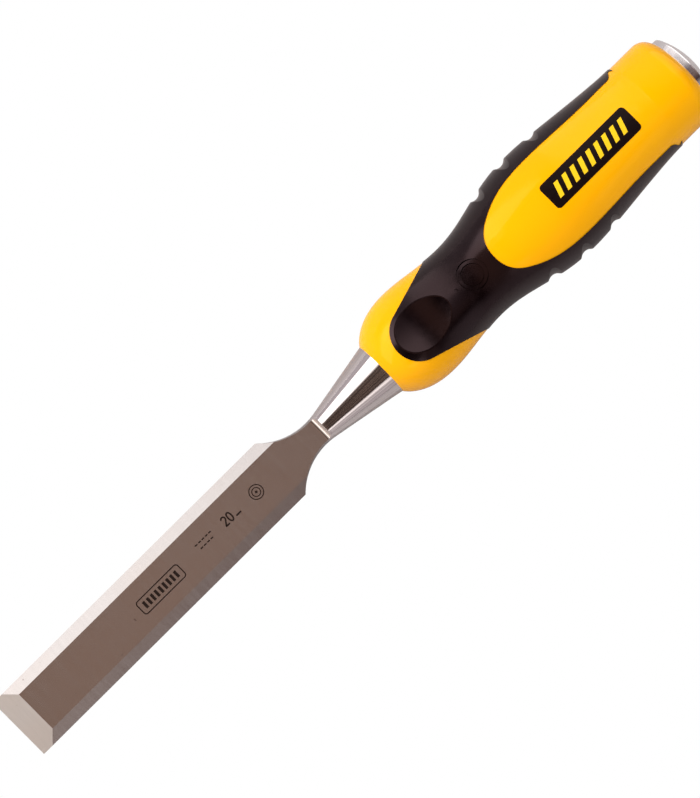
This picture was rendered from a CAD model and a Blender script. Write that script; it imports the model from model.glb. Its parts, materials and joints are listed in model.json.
import json
import math

import bmesh
import bpy
from mathutils import Matrix, Vector
from mathutils.bvhtree import BVHTree


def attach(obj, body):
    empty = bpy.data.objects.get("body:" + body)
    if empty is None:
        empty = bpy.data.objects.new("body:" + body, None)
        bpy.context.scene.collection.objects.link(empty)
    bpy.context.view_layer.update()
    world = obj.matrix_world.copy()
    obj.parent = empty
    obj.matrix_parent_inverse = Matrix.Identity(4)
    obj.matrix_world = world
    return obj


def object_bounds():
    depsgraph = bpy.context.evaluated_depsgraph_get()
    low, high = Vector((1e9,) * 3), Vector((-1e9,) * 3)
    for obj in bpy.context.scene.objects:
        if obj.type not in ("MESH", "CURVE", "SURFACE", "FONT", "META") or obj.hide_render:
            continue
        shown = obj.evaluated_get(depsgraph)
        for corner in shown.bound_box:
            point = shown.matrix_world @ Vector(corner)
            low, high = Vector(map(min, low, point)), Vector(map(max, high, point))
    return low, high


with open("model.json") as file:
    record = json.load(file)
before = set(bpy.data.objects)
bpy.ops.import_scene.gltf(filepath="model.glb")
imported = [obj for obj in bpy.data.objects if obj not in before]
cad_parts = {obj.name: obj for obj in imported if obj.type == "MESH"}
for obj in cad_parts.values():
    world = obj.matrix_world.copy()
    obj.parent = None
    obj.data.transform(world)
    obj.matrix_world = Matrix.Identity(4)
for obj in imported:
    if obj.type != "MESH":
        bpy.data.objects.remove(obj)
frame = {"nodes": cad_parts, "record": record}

cad_low, cad_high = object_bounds()

# Sizes are in metres. X runs from the cutting edge to the strike cap, and Y across the chisel.
BODY = "root"
MOUNTS = {mount["name"]: mount for mount in frame["record"]["mounts"]}
HANDLE_AXIS_Z = MOUNTS["clip_barrel"]["pos_m"][2]

# Camera: above the blade, a little short of its shoulder, looking down and slightly towards the
# strike cap. The lens and the sensor are in millimetres.
CAMERA_X = 0.0956
CAMERA_HEIGHT = 0.750
CAMERA_LEAN = math.radians(2.59)
CAMERA_ROLL = math.radians(44.742)
CAMERA_SIDE = 0.0002
LENS = 121.579
SENSOR = 36.0
CLIP_START = 0.01
CLIP_END = 20.0

# Soft lights, level and above the chisel. Each one's corner nearest the chisel is given as distances to
# the left and up in the camera's frame, measured from above the bolster. A turn is in degrees.
LIGHT_X = 0.130
LIGHT_HEIGHT = 0.45
LIGHT_COLOUR = (1.0, 0.985, 0.975)
SOFT_BOX_CORNER = (0.15, 0.36)
SOFT_BOX_SIZE = (0.75, 1.15)
FILL_CORNER = (0.24, 0.50)
SOFT_BOX_TURN = 18.0
SOFT_BOX_GLOSS = 1.48  # brightness as the shiny faces reflect it
SOFT_BOX_FILL = 6.8  # brightness of a second light, which the shiny faces don't reflect
SIDE_FILL_CORNER = (-1.0, 0.25)
SIDE_FILL_SIZE = (0.7, 0.9)
SIDE_FILL_TURN = 0.0
SIDE_FILL = 1.6

FLOOR_HALF_SIZE = 3.0
FLOOR_GAP = 0.0003
FLOOR_COLOUR = (0.48, 0.44, 0.44, 1)

# The tip's bevel is honed, the blade is ground as far as its neck, and the rest is polished.
HONED_END = 0.008
HONED_FADE_END = 0.010
HONED_ROUGHNESS = 0.38
GROUND_END = 0.1165
POLISH_START = 0.1180

# Colours of the materials. Most drift between a dark and a light end.
GROUND_DARK = (0.35, 0.345, 0.34, 1)
GROUND_LIGHT = (0.48, 0.47, 0.465, 1)
GROUND_BROWN = (0.42, 0.39, 0.37, 1)
GROUND_SPECK = (0.14, 0.11, 0.10, 1)
POLISH_DARK = (0.52, 0.49, 0.49, 1)
POLISH_LIGHT = (0.76, 0.74, 0.74, 1)
YELLOW_DARK = (0.96, 0.41, 0.0, 1)
YELLOW_LIGHT = (0.96, 0.45, 0.0, 1)
YELLOW_GLOSS = (1.0, 0.8, 0.3, 1)
RUBBER_DARK = (0.0006, 0.0002, 0.0004, 1)
RUBBER_LIGHT = (0.0026, 0.0014, 0.0018, 1)
RUBBER_GLOSS = (1.0, 0.7, 0.75, 1)
PLATING_DARK = (0.78, 0.79, 0.80, 1)
PLATING_LIGHT = (0.88, 0.88, 0.89, 1)
INK_DARK = (0.003, 0.001, 0.001, 1)
INK_LIGHT = (0.007, 0.003, 0.003, 1)
PAINT_DARK = (0.85, 0.52, 0.01, 1)
PAINT_LIGHT = (0.95, 0.60, 0.02, 1)
ETCH_DARK = (0.006, 0.003, 0.002, 1)
ETCH_LIGHT = (0.014, 0.008, 0.006, 1)

# Marks are thin skins. A skin's two numbers are its height above the face and its depth below it.
# A bar's size is its width and height, and a pitch is the distance from one bar to the next.
RAY_CLEARANCE = 0.01  # how far above the chisel the search for its face starts
QUARTER_POINTS = 9  # points round a quarter turn
LABEL_CENTRE = (0.2225, 0.0008)
LABEL_LENGTH = 0.0327
LABEL_WIDTH = 0.0084
LABEL_CORNER = 0.0012
LABEL_SKIN = (0.00004, 0.00003)
LABEL_BAR_COUNT = 9
LABEL_BAR_PITCH = 0.0031
LABEL_BAR_SIZE = (0.0015, 0.0043)
LABEL_BAR_SLANT = 0.35
LABEL_BAR_SKIN = (0.00006, 0.00003)
ETCH_SKIN = (0.000012, 0.00001)
PLATE_CENTRE = (0.05515, -0.0004)
PLATE_LENGTH = 0.0161
PLATE_WIDTH = 0.0047
PLATE_CORNER = 0.0010
PLATE_LINE = 0.00034
PLATE_BAR_COUNT = 9
PLATE_BAR_PITCH = 0.0015
PLATE_BAR_SIZE = (0.00085, 0.0022)
DASHES_X = 0.0732
DASH_ROWS = ((0.0014, 5), (-0.0002, 4))  # each row's Y and its number of dashes
DASH_PITCH = 0.0013
DASH_SIZE = (0.0009, 0.0004)
NUMBER_LEFT = 0.0801
NUMBER_BASE = -0.0010
RING_CENTRE = (0.0928, 0.0002)
RING_RADII = ((0.0019, 0.0022), (0.0011, 0.00138), (0.0, 0.0004))  # inner and outer, of each ring


# ---------------------------------------------------------------- node helpers

class Nodes:
    """Short calls that add nodes to one node tree."""

    def __init__(self, tree):
        self.tree = tree

    def node(self, kind, settings=None, **inputs):
        """Adds a node and fills its inputs: _0 is the first one, and Base_Color the one so named."""
        made = self.tree.nodes.new("ShaderNode" + kind)
        for name, value in (settings or {}).items():
            setattr(made, name, value)
        for name, value in inputs.items():
            self.feed(made.inputs[self.socket(name)], value)
        return made

    @staticmethod
    def socket(name):
        if name[0] == "_":
            return int(name[1:])
        return name.replace("_", " ")

    def feed(self, socket, value):
        """Links a socket to another node's output, or sets its own value."""
        if isinstance(value, bpy.types.NodeSocket):
            self.tree.links.new(value, socket)
        else:
            socket.default_value = value

    def math(self, operation, first, second=0.0, third=0.0):
        made = self.node("Math", {"operation": operation}, _0=first, _1=second, _2=third)
        return made.outputs[0]

    def place(self):
        """Object coordinates, which are the shared frame's, in metres."""
        return self.node("TexCoord").outputs["Object"]

    def stretched(self, scale):
        """Object coordinates multiplied by scale, to lengthen a pattern along one axis."""
        return self.node("Mapping", Vector=self.place(), Scale=scale).outputs["Vector"]

    def noise(self, vector, scale, detail, roughness=0.5):
        made = self.node("TexNoise", Vector=vector, Scale=scale, Detail=detail, Roughness=roughness)
        return made.outputs["Fac"]

    def between(self, value, low, high, out_low=0.0, out_high=1.0):
        """Goes smoothly from out_low, where value is low, to out_high, where it is high."""
        made = self.node("MapRange", {"interpolation_type": "SMOOTHSTEP"}, Value=value)
        self.feed(made.inputs["From Min"], low)
        self.feed(made.inputs["From Max"], high)
        self.feed(made.inputs["To Min"], out_low)
        self.feed(made.inputs["To Max"], out_high)
        return made.outputs["Result"]

    def mix(self, share, first, second):
        """A colour between first and second."""
        made = self.node("Mix", {"data_type": "RGBA"})
        self.feed(made.inputs[0], share)
        self.feed(made.inputs[6], first)
        self.feed(made.inputs[7], second)
        return made.outputs[2]

    def blend(self, share, first, second):
        """A number between first and second."""
        made = self.node("Mix", {"data_type": "FLOAT"}, Factor=share)
        self.feed(made.inputs[2], first)
        self.feed(made.inputs[3], second)
        return made.outputs[0]

    def bump(self, height, distance, strength):
        made = self.node("Bump", Height=height, Distance=distance, Strength=strength)
        return made.outputs["Normal"]


class Shader(Nodes):
    """A material with one Principled shader."""

    def __init__(self, name, **sockets):
        self.material = bpy.data.materials.new(name)
        self.material.use_nodes = True
        super().__init__(self.material.node_tree)
        self.surface = self.tree.nodes["Principled BSDF"]
        for socket, value in sockets.items():
            self.surface.inputs[socket.replace("_", " ")].default_value = value

    def set(self, socket, value):
        self.feed(self.surface.inputs[socket], value)


# ---------------------------------------------------------------- materials

def lengthwise_streaks(shader):
    """Fine lines that run along the bolster and close up with it towards the neck."""
    split = shader.node("SeparateXYZ", Vector=shader.place())
    height = shader.math("SUBTRACT", split.outputs["Z"], HANDLE_AXIS_Z)
    round_angle = shader.math("ARCTAN2", split.outputs["Y"], height)
    per_metre = 18.0
    per_radian = 22.0
    along = shader.math("MULTIPLY", split.outputs["X"], per_metre)
    across = shader.math("MULTIPLY", round_angle, per_radian)
    lines = shader.node("CombineXYZ", X=along, Y=across)
    return shader.noise(lines.outputs[0], scale=1.0, detail=4.0, roughness=0.65)


def steel_material():
    """Ground blade faces with fine lines across the blade, and a polished bolster."""
    shader = Shader("blade_steel", Metallic=1.0, Anisotropic=0.7, Anisotropic_Rotation=0.25)
    # The tangent lies across the blade on every face, whichever way the face tilts.
    normal = shader.node("NewGeometry").outputs["Normal"]
    across = shader.node("VectorMath", {"operation": "CROSS_PRODUCT"}, _0=normal, _1=(1, 0, 0))
    shader.set("Tangent", across.outputs["Vector"])
    x = shader.node("SeparateXYZ", Vector=shader.place()).outputs["X"]
    facing = shader.node("SeparateXYZ", Vector=shader.node("TexCoord").outputs["Normal"]).outputs["X"]
    tilted_forward = shader.between(facing, -0.30, -0.38)
    near_edge = shader.between(x, HONED_FADE_END, HONED_END)
    honed = shader.math("MULTIPLY", tilted_forward, near_edge)
    polished = shader.between(x, GROUND_END, POLISH_START)
    fine = shader.noise(shader.stretched((9000, 260, 260)), scale=1.0, detail=4.0)
    broad = shader.noise(shader.stretched((900, 60, 60)), scale=1.0, detail=3.0)
    clouds = shader.noise(shader.stretched((60, 90, 90)), scale=1.0, detail=2.0)
    grain = shader.math("ADD", shader.math("MULTIPLY", fine, 0.6), shader.math("MULTIPLY", broad, 0.4))
    ground = shader.mix(grain, GROUND_DARK, GROUND_LIGHT)
    ground = shader.mix(shader.between(clouds, 0.3, 0.7, 0.0, 0.35), ground, GROUND_BROWN)
    specks = shader.noise(shader.place(), scale=760.0, detail=1.0)
    ground = shader.mix(shader.between(specks, 0.77, 0.82, 0.0, 0.5), ground, GROUND_SPECK)
    streaks = lengthwise_streaks(shader)
    streaked = shader.mix(shader.between(streaks, 0.25, 0.75), POLISH_DARK, POLISH_LIGHT)
    shader.set("Base Color", shader.mix(polished, ground, streaked))
    ground_rough = shader.between(grain, 0.2, 0.8, out_low=0.18, out_high=0.26)
    polish_rough = shader.between(streaks, 0.2, 0.8, out_low=0.08, out_high=0.17)
    blade_rough = shader.blend(honed, ground_rough, HONED_ROUGHNESS)
    shader.set("Roughness", shader.blend(polished, blade_rough, polish_rough))
    shader.set("Normal", shader.bump(grain, distance=0.000012, strength=0.5))
    return shader.material


def yellow_material():
    """Glossy hard plastic with a faint orange-peel surface and slow colour drift."""
    shader = Shader("yellow_plastic", IOR=1.47, Specular_Tint=YELLOW_GLOSS)
    drift = shader.noise(shader.place(), scale=35.0, detail=2.0)
    shader.set("Base Color", shader.mix(drift, YELLOW_DARK, YELLOW_LIGHT))
    peel = shader.noise(shader.place(), scale=700.0, detail=2.0)
    shader.set("Normal", shader.bump(peel, distance=0.000008, strength=0.4))
    wear = shader.noise(shader.place(), scale=160.0, detail=4.0)
    shader.set("Roughness", shader.between(wear, 0.3, 0.7, out_low=0.08, out_high=0.13))
    return shader.material


def rubber_material():
    """Soft black rubber with a fine moulded grain."""
    shader = Shader("black_rubber", IOR=1.5, Specular_IOR_Level=0.40, Specular_Tint=RUBBER_GLOSS)
    place = shader.place()
    grain = shader.noise(place, scale=5200.0, detail=3.0, roughness=0.6)
    dust = shader.noise(place, scale=240.0, detail=5.0, roughness=0.65)
    shader.set("Base Color", shader.mix(shader.between(dust, 0.45, 0.8), RUBBER_DARK, RUBBER_LIGHT))
    shader.set("Roughness", shader.between(dust, 0.3, 0.7, out_low=0.16, out_high=0.23))
    shader.set("Normal", shader.bump(grain, distance=0.000025, strength=0.3))
    return shader.material


def cap_material():
    """Bright plated steel with faint turning rings and a few hammer scuffs."""
    shader = Shader("cap_steel", Metallic=1.0)
    place = shader.node("SeparateXYZ", Vector=shader.place())
    height = shader.math("SUBTRACT", place.outputs["Z"], HANDLE_AXIS_Z)
    side_squared = shader.math("POWER", place.outputs["Y"], 2.0)
    height_squared = shader.math("POWER", height, 2.0)
    radius = shader.math("SQRT", shader.math("ADD", side_squared, height_squared))
    rings = shader.noise(shader.node("CombineXYZ", X=radius).outputs[0], scale=6000.0, detail=2.0)
    scuffs = shader.noise(shader.stretched((300, 900, 300)), scale=1.0, detail=5.0, roughness=0.7)
    shader.set("Base Color", shader.mix(scuffs, PLATING_DARK, PLATING_LIGHT))
    shader.set("Roughness", shader.between(scuffs, 0.45, 0.75, out_low=0.10, out_high=0.24))
    shader.set("Normal", shader.bump(rings, distance=0.000006, strength=0.5))
    return shader.material


def print_material(name, dark, light, roughness):
    """Thin ink or etching, slightly uneven."""
    shader = Shader(name, Specular_IOR_Level=0.12)
    mottle = shader.noise(shader.place(), scale=900.0, detail=4.0)
    shader.set("Base Color", shader.mix(mottle, dark, light))
    wear = shader.noise(shader.place(), scale=500.0, detail=3.0)
    roughest = roughness + 0.12
    shader.set("Roughness", shader.between(wear, 0.3, 0.7, out_low=roughness, out_high=roughest))
    return shader.material


def dress(node, material):
    """Gives a CAD node its material."""
    for slot in frame["nodes"][node].material_slots:
        slot.material = material


# ---------------------------------------------------------------- thin marks on curved faces

def surface_of(node):
    """The faces of a CAD node, ready to be searched along a line."""
    shape = frame["nodes"][node]
    vertices = [shape.matrix_world @ vertex.co for vertex in shape.data.vertices]
    faces = [tuple(polygon.vertices) for polygon in shape.data.polygons]
    return BVHTree.FromPolygons(vertices, faces)


def drop(surface, x, y, lift):
    """The point of the surface under (x, y), seen from above, raised along its normal."""
    start = Vector((x, y, cad_high.z + RAY_CLEARANCE))
    hit, normal, _, _ = surface.ray_cast(start, Vector((0, 0, -1)))
    return hit + normal * lift


def strip(mesh, surface, stations, skin):
    """Adds a thin closed skin to mesh. Each station is a row of plan points across the strip."""
    lift, depth = skin
    rows = []
    for row in stations:
        upper = [mesh.verts.new(drop(surface, x, y, lift)) for x, y in row]
        lower = [mesh.verts.new(drop(surface, x, y, -depth)) for x, y in row]
        rows.append((upper, lower))
    for (upper_a, lower_a), (upper_b, lower_b) in zip(rows, rows[1:]):
        for i in range(len(upper_a) - 1):
            mesh.faces.new((upper_a[i], upper_b[i], upper_b[i + 1], upper_a[i + 1]))
            mesh.faces.new((lower_a[i], lower_a[i + 1], lower_b[i + 1], lower_b[i]))
        for i in (0, -1):
            mesh.faces.new((upper_a[i], lower_a[i], lower_b[i], upper_b[i]))
    for upper, lower in (rows[0], rows[-1]):
        for i in range(len(upper) - 1):
            mesh.faces.new((upper[i], upper[i + 1], lower[i + 1], lower[i]))


def finish_piece(name, mesh, material):
    """Makes the mesh a piece that rides on the chisel."""
    bmesh.ops.recalc_face_normals(mesh, faces=mesh.faces)
    data = bpy.data.meshes.new(name)
    mesh.to_mesh(data)
    mesh.free()
    piece = bpy.data.objects.new(name, data)
    bpy.context.collection.objects.link(piece)
    data.materials.append(material)
    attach(piece, BODY)


def spread(low, high, count):
    """Evenly spaced numbers from low to high."""
    return [low + (high - low) * i / (count - 1) for i in range(count)]


def rounded_panel(centre, length, width, corner, columns=96, rows=17):
    """Stations of a rectangle with rounded corners, one after another along its length."""
    stations = []
    straight = length / 2 - corner
    end = [straight + corner * math.sin(angle) for angle in spread(0, math.pi / 2, QUARTER_POINTS)]
    start = [-x for x in reversed(end)]
    middle = spread(-straight, straight, columns)[1:-1]
    for x in start + middle + end:
        over = max(0.0, abs(x) - straight)
        half = width / 2 - corner + math.sqrt(max(0.0, corner**2 - over**2))
        stations.append([(centre[0] + x, centre[1] + y) for y in spread(-half, half, rows)])
    return stations


def slanted_bar(centre, width, height, slant, columns=4, rows=13):
    """Stations of one upright bar that leans along X."""
    stations = []
    for across in spread(-width / 2, width / 2, columns):
        x = centre[0] + across
        stations.append([(x + slant * y, centre[1] + y) for y in spread(-height / 2, height / 2, rows)])
    return stations


def add_bars(mesh, surface, centre, count, pitch, size, skin, slant=0.0):
    """Adds a row of bars to mesh, side by side along X and even about the centre."""
    for i in range(count):
        place = (centre[0] + (i - (count - 1) / 2) * pitch, centre[1])
        strip(mesh, surface, slanted_bar(place, *size, slant), skin)


def on_circle(centre, radius, angle):
    return (centre[0] + radius * math.cos(angle), centre[1] + radius * math.sin(angle))


def ring_stations(centre, inner, outer, count=64):
    """Stations round a ring."""
    stations = []
    for i in range(count + 1):
        angle = 2 * math.pi * i / count
        stations.append([on_circle(centre, radius, angle) for radius in (inner, outer)])
    return stations


def outline_stations(centre, length, width, corner, line):
    """Stations round the edge of a rounded rectangle, as a line of even width."""
    stations = []
    for quarter, (side_x, side_y) in enumerate(((1, 1), (-1, 1), (-1, -1), (1, -1))):
        corner_x = centre[0] + side_x * (length / 2 - corner)
        corner_y = centre[1] + side_y * (width / 2 - corner)
        for turned in spread(0, math.pi / 2, QUARTER_POINTS):
            angle = turned + quarter * math.pi / 2
            radii = (corner - line, corner)
            stations.append([on_circle((corner_x, corner_y), radius, angle) for radius in radii])
    stations.append(stations[0])
    return stations


def label():
    """Plain printed panel on the front window of the handle, with generic slanted bars."""
    surface = surface_of("handle_core")
    panel = bmesh.new()
    stations = rounded_panel(LABEL_CENTRE, LABEL_LENGTH, LABEL_WIDTH, LABEL_CORNER)
    strip(panel, surface, stations, LABEL_SKIN)
    ink = print_material("label_ink", INK_DARK, INK_LIGHT, roughness=0.25)
    finish_piece("label_panel", panel, ink)
    bars = bmesh.new()
    add_bars(bars, surface, LABEL_CENTRE, LABEL_BAR_COUNT, LABEL_BAR_PITCH, LABEL_BAR_SIZE,
             LABEL_BAR_SKIN, LABEL_BAR_SLANT)
    paint = print_material("label_bars", PAINT_DARK, PAINT_LIGHT, roughness=0.3)
    finish_piece("label_bars", bars, paint)


def stroke(points, width):
    """Stations of a line of even width through the plan points."""
    stations = []
    for i, (x, y) in enumerate(points):
        before = points[max(i - 1, 0)]
        after = points[min(i + 1, len(points) - 1)]
        run = Vector((after[0] - before[0], after[1] - before[1])).normalized() * width / 2
        stations.append([(x + run.y, y - run.x), (x - run.y, y + run.x)])
    return stations


def arc_points(centre, radii, start, end, count=15):
    """Points of an ellipse's arc, from the start angle to the end angle in degrees."""
    angles = [math.radians(a) for a in spread(start, end, count)]
    return [(centre[0] + radii[0] * math.cos(a), centre[1] + radii[1] * math.sin(a)) for a in angles]


def add_size_number(mesh, surface, left, base):
    """Adds the blade's width in millimetres, 20, as two plain figures and a dash."""
    line = 0.00046
    dash_line = 0.0005
    half_width = 0.00065
    foot_y = base + 0.0002
    dash_y = base + 0.0004
    bowl = arc_points((left + 0.0008, base + 0.0022), (half_width, half_width), 165, -40)
    figure_two = bowl + [(left + 0.00015, foot_y)]
    foot = [(left, foot_y), (left + 0.0015, foot_y)]
    figure_nought = arc_points((left + 0.0027, base + 0.0015), (half_width, 0.00135), 0, 360, 31)
    dash = [(left + 0.0042, dash_y), (left + 0.0060, dash_y)]
    for points, width in ((figure_two, line), (foot, line), (figure_nought, line), (dash, dash_line)):
        strip(mesh, surface, stroke(points, width), ETCH_SKIN)


def blade_marks():
    """Etched marks on the blade's flat: a plate with bars, two rows of dashes, a size and a ring."""
    surface = surface_of("forged_blade")
    etch = print_material("etch", ETCH_DARK, ETCH_LIGHT, roughness=0.5)
    plate = bmesh.new()
    outline = outline_stations(PLATE_CENTRE, PLATE_LENGTH, PLATE_WIDTH, PLATE_CORNER, PLATE_LINE)
    strip(plate, surface, outline, ETCH_SKIN)
    add_bars(plate, surface, PLATE_CENTRE, PLATE_BAR_COUNT, PLATE_BAR_PITCH, PLATE_BAR_SIZE, ETCH_SKIN)
    finish_piece("etched_plate", plate, etch)
    dashes = bmesh.new()
    for y, count in DASH_ROWS:
        add_bars(dashes, surface, (DASHES_X, y), count, DASH_PITCH, DASH_SIZE, ETCH_SKIN)
    finish_piece("etched_dashes", dashes, etch)
    number = bmesh.new()
    add_size_number(number, surface, NUMBER_LEFT, NUMBER_BASE)
    finish_piece("etched_size", number, etch)
    rings = bmesh.new()
    for inner, outer in RING_RADII:
        strip(rings, surface, ring_stations(RING_CENTRE, inner, outer), ETCH_SKIN)
    finish_piece("etched_ring", rings, etch)


# ---------------------------------------------------------------- floor

def floor_material():
    """Matt and pale, and plain white where the camera sees it."""
    shader = Shader("floor", Base_Color=FLOOR_COLOUR, Roughness=0.9, Specular_IOR_Level=0.0)
    white = shader.node("Emission", Color=(1, 1, 1, 1), Strength=1.0)
    seen = shader.node("LightPath").outputs["Is Camera Ray"]
    both = shader.node("MixShader", _0=seen, _1=shader.surface.outputs[0], _2=white.outputs[0])
    shader.feed(shader.tree.nodes["Material Output"].inputs["Surface"], both.outputs[0])
    return shader.material


def add_floor():
    """Floor tilted to pass just under the cutting edge and the lowest line of the handle."""
    handle = [frame["nodes"][name] for name in ("handle_core", "soft_grip")]
    points = [shape.matrix_world @ vertex.co for shape in handle for vertex in shape.data.vertices]
    tilt = max(math.atan2(-point.z, point.x) for point in points)
    data = bpy.data.meshes.new("floor")
    half = FLOOR_HALF_SIZE
    corners = [(-half, -half, 0), (half, -half, 0), (half, half, 0), (-half, half, 0)]
    data.from_pydata(corners, [], [(0, 1, 2, 3)])
    floor = bpy.data.objects.new("floor", data)
    floor.rotation_euler = (0, tilt, 0)
    floor.location = (0, 0, -FLOOR_GAP)
    bpy.context.collection.objects.link(floor)
    data.materials.append(floor_material())


# ---------------------------------------------------------------- room and lights

# Colours of the room that the shiny faces reflect.
WALL = (0.62, 0.56, 0.575, 1)
FAR_WALL = (0.80, 0.72, 0.71, 1)
END_WALL = (1.0, 0.80, 0.68, 1)
DIM_WALL = (0.48, 0.40, 0.41, 1)
LOW_CEILING = (0.36, 0.25, 0.22, 1)
CEILING = (0.54, 0.34, 0.26, 1)
DARK_CEILING = (0.05, 0.025, 0.025, 1)
DARK_CORNER = (0.05, 0.035, 0.03, 1)
WHITE_CARD = (1.8, 1.65, 1.6, 1)
MATT_LIGHT = (0.44, 0.43, 0.42, 1)  # the same all round, for the matt colours

# Bands of the room round the X axis, by the angle from straight up towards +Y, in degrees.
# Over the blade:
BLADE_BANDS = (
    (-180, DIM_WALL),
    (-72, DIM_WALL),
    (-50, LOW_CEILING),
    (-20, CEILING),
    (40, CEILING),
    (60, WALL),
    (180, WALL),
)
# Beyond the cutting edge, which the bolster reflects: a dark middle between two white cards.
BOLSTER_BANDS = (
    (-180, FAR_WALL),
    (-58, FAR_WALL),
    (-55, WHITE_CARD),
    (-48, WHITE_CARD),
    (-44, DARK_CORNER),
    (16, DARK_CORNER),
    (21, WHITE_CARD),
    (62, WHITE_CARD),
    (72, DIM_WALL),
    (180, DIM_WALL),
)
# Over the handle, where the ceiling is dark.
HANDLE_BANDS = (
    (-180, DIM_WALL),
    (-72, DIM_WALL),
    (-52, DARK_CEILING),
    (26, DARK_CEILING),
    (55, WALL),
    (180, WALL),
)
# Beyond the strike cap, where a white card stands on the +Y side.
CAP_BANDS = (
    (-180, WALL),
    (-58, WALL),
    (-46, DARK_CEILING),
    (-34, LOW_CEILING),
    (-6, DIM_WALL),
    (14, WHITE_CARD),
    (180, WHITE_CARD),
)
# The bands other than the blade's. Each set starts to show where the X part of the direction looked in
# is the first number, and is complete at the second.
OTHER_BANDS = (
    (0.04, 0.09, HANDLE_BANDS),
    (0.215, 0.235, CAP_BANDS),
    (-0.20, -0.28, BOLSTER_BANDS),
)
END_WALL_START = -0.52
END_WALL_COMPLETE = -0.62


def room_colours(nodes, turn, bands):
    """Colour of the room at a turn from 0 to 1, where 0.5 is straight up."""
    made = nodes.node("ValToRGB", Fac=turn)
    ramp = made.color_ramp
    while len(ramp.elements) < len(bands):
        ramp.elements.new(0.5)
    for element, (degrees, colour) in zip(ramp.elements, bands):
        element.position = degrees / 360 + 0.5
        element.color = colour
    return made.outputs["Color"]


def studio_world():
    """Room round the chisel, as its shiny faces reflect it. The camera sees plain white."""
    world = bpy.data.worlds.new("studio")
    bpy.context.scene.world = world
    world.use_nodes = True
    world.node_tree.nodes.clear()
    nodes = Nodes(world.node_tree)
    direction = nodes.node("TexCoord").outputs["Generated"]
    split = nodes.node("SeparateXYZ", Vector=direction)
    angle = nodes.math("ARCTAN2", split.outputs["Y"], split.outputs["Z"])
    turn = nodes.math("MULTIPLY_ADD", angle, 1 / (2 * math.pi), 0.5)
    x = split.outputs["X"]
    room = room_colours(nodes, turn, BLADE_BANDS)
    for start, complete, bands in OTHER_BANDS:
        room = nodes.mix(nodes.between(x, start, complete), room, room_colours(nodes, turn, bands))
    room = nodes.mix(nodes.between(x, END_WALL_START, END_WALL_COMPLETE), room, END_WALL)
    shiny = nodes.node("Background", Color=room)
    matt = nodes.node("Background", Color=MATT_LIGHT)
    ray = nodes.node("LightPath").outputs
    lit = nodes.node("MixShader", _0=ray["Is Diffuse Ray"], _1=shiny.outputs[0], _2=matt.outputs[0])
    white = nodes.node("Background", Color=(1, 1, 1, 1))
    both = nodes.node("MixShader", _0=ray["Is Camera Ray"], _1=lit.outputs[0], _2=white.outputs[0])
    nodes.node("OutputWorld", Surface=both.outputs[0])


def add_soft_light(name, corner, size, turn, radiance, glossy):
    """Level soft light, turned from the camera's left towards its up."""
    left = Vector((-math.sqrt(0.5), math.sqrt(0.5), 0))
    up = Vector((math.sqrt(0.5), math.sqrt(0.5), 0))
    lean = math.radians(turn)
    outwards = left * math.cos(lean) + up * math.sin(lean)
    upwards = up * math.cos(lean) - left * math.sin(lean)
    data = bpy.data.lights.new(name, "AREA")
    data.shape = "RECTANGLE"
    data.size, data.size_y = size
    data.energy = radiance * math.pi * size[0] * size[1]
    data.color = LIGHT_COLOUR
    light = bpy.data.objects.new(name, data)
    start = Vector((LIGHT_X, 0, HANDLE_AXIS_Z + LIGHT_HEIGHT)) + left * corner[0] + up * corner[1]
    light.location = start + outwards * size[0] / 2 - upwards * size[1] / 2
    light.rotation_euler = (0, 0, math.atan2(left.y, left.x) - lean)
    light.visible_camera = False
    light.visible_glossy = glossy
    bpy.context.collection.objects.link(light)


def add_soft_lights():
    add_soft_light("soft_box", SOFT_BOX_CORNER, SOFT_BOX_SIZE, SOFT_BOX_TURN, SOFT_BOX_GLOSS, True)
    add_soft_light("soft_fill", FILL_CORNER, SOFT_BOX_SIZE, SOFT_BOX_TURN, SOFT_BOX_FILL, False)
    add_soft_light("side_fill", SIDE_FILL_CORNER, SIDE_FILL_SIZE, SIDE_FILL_TURN, SIDE_FILL, False)


# ---------------------------------------------------------------- camera

def add_camera():
    data = bpy.data.cameras.new("camera")
    data.sensor_width = SENSOR
    data.lens = LENS
    data.clip_start = CLIP_START
    data.clip_end = CLIP_END
    camera = bpy.data.objects.new("camera", data)
    along = Vector((math.cos(CAMERA_LEAN), 0, math.sin(CAMERA_LEAN)))
    across = Vector((0, 1, 0))
    back = along.cross(across)
    right = along * math.cos(CAMERA_ROLL) - across * math.sin(CAMERA_ROLL)
    up = along * math.sin(CAMERA_ROLL) + across * math.cos(CAMERA_ROLL)
    camera.matrix_world = Matrix((
        (right.x, up.x, back.x, CAMERA_X),
        (right.y, up.y, back.y, CAMERA_SIDE),
        (right.z, up.z, back.z, HANDLE_AXIS_Z + CAMERA_HEIGHT),
        (0, 0, 0, 1),
    ))
    bpy.context.collection.objects.link(camera)
    bpy.context.scene.camera = camera


# ---------------------------------------------------------------- the whole scene

dress("forged_blade", steel_material())
dress("handle_core", yellow_material())
dress("soft_grip", rubber_material())
dress("strike_cap", cap_material())
label()
blade_marks()
add_floor()
studio_world()
add_soft_lights()
add_camera()
bpy.context.scene.view_settings.view_transform = "Standard"
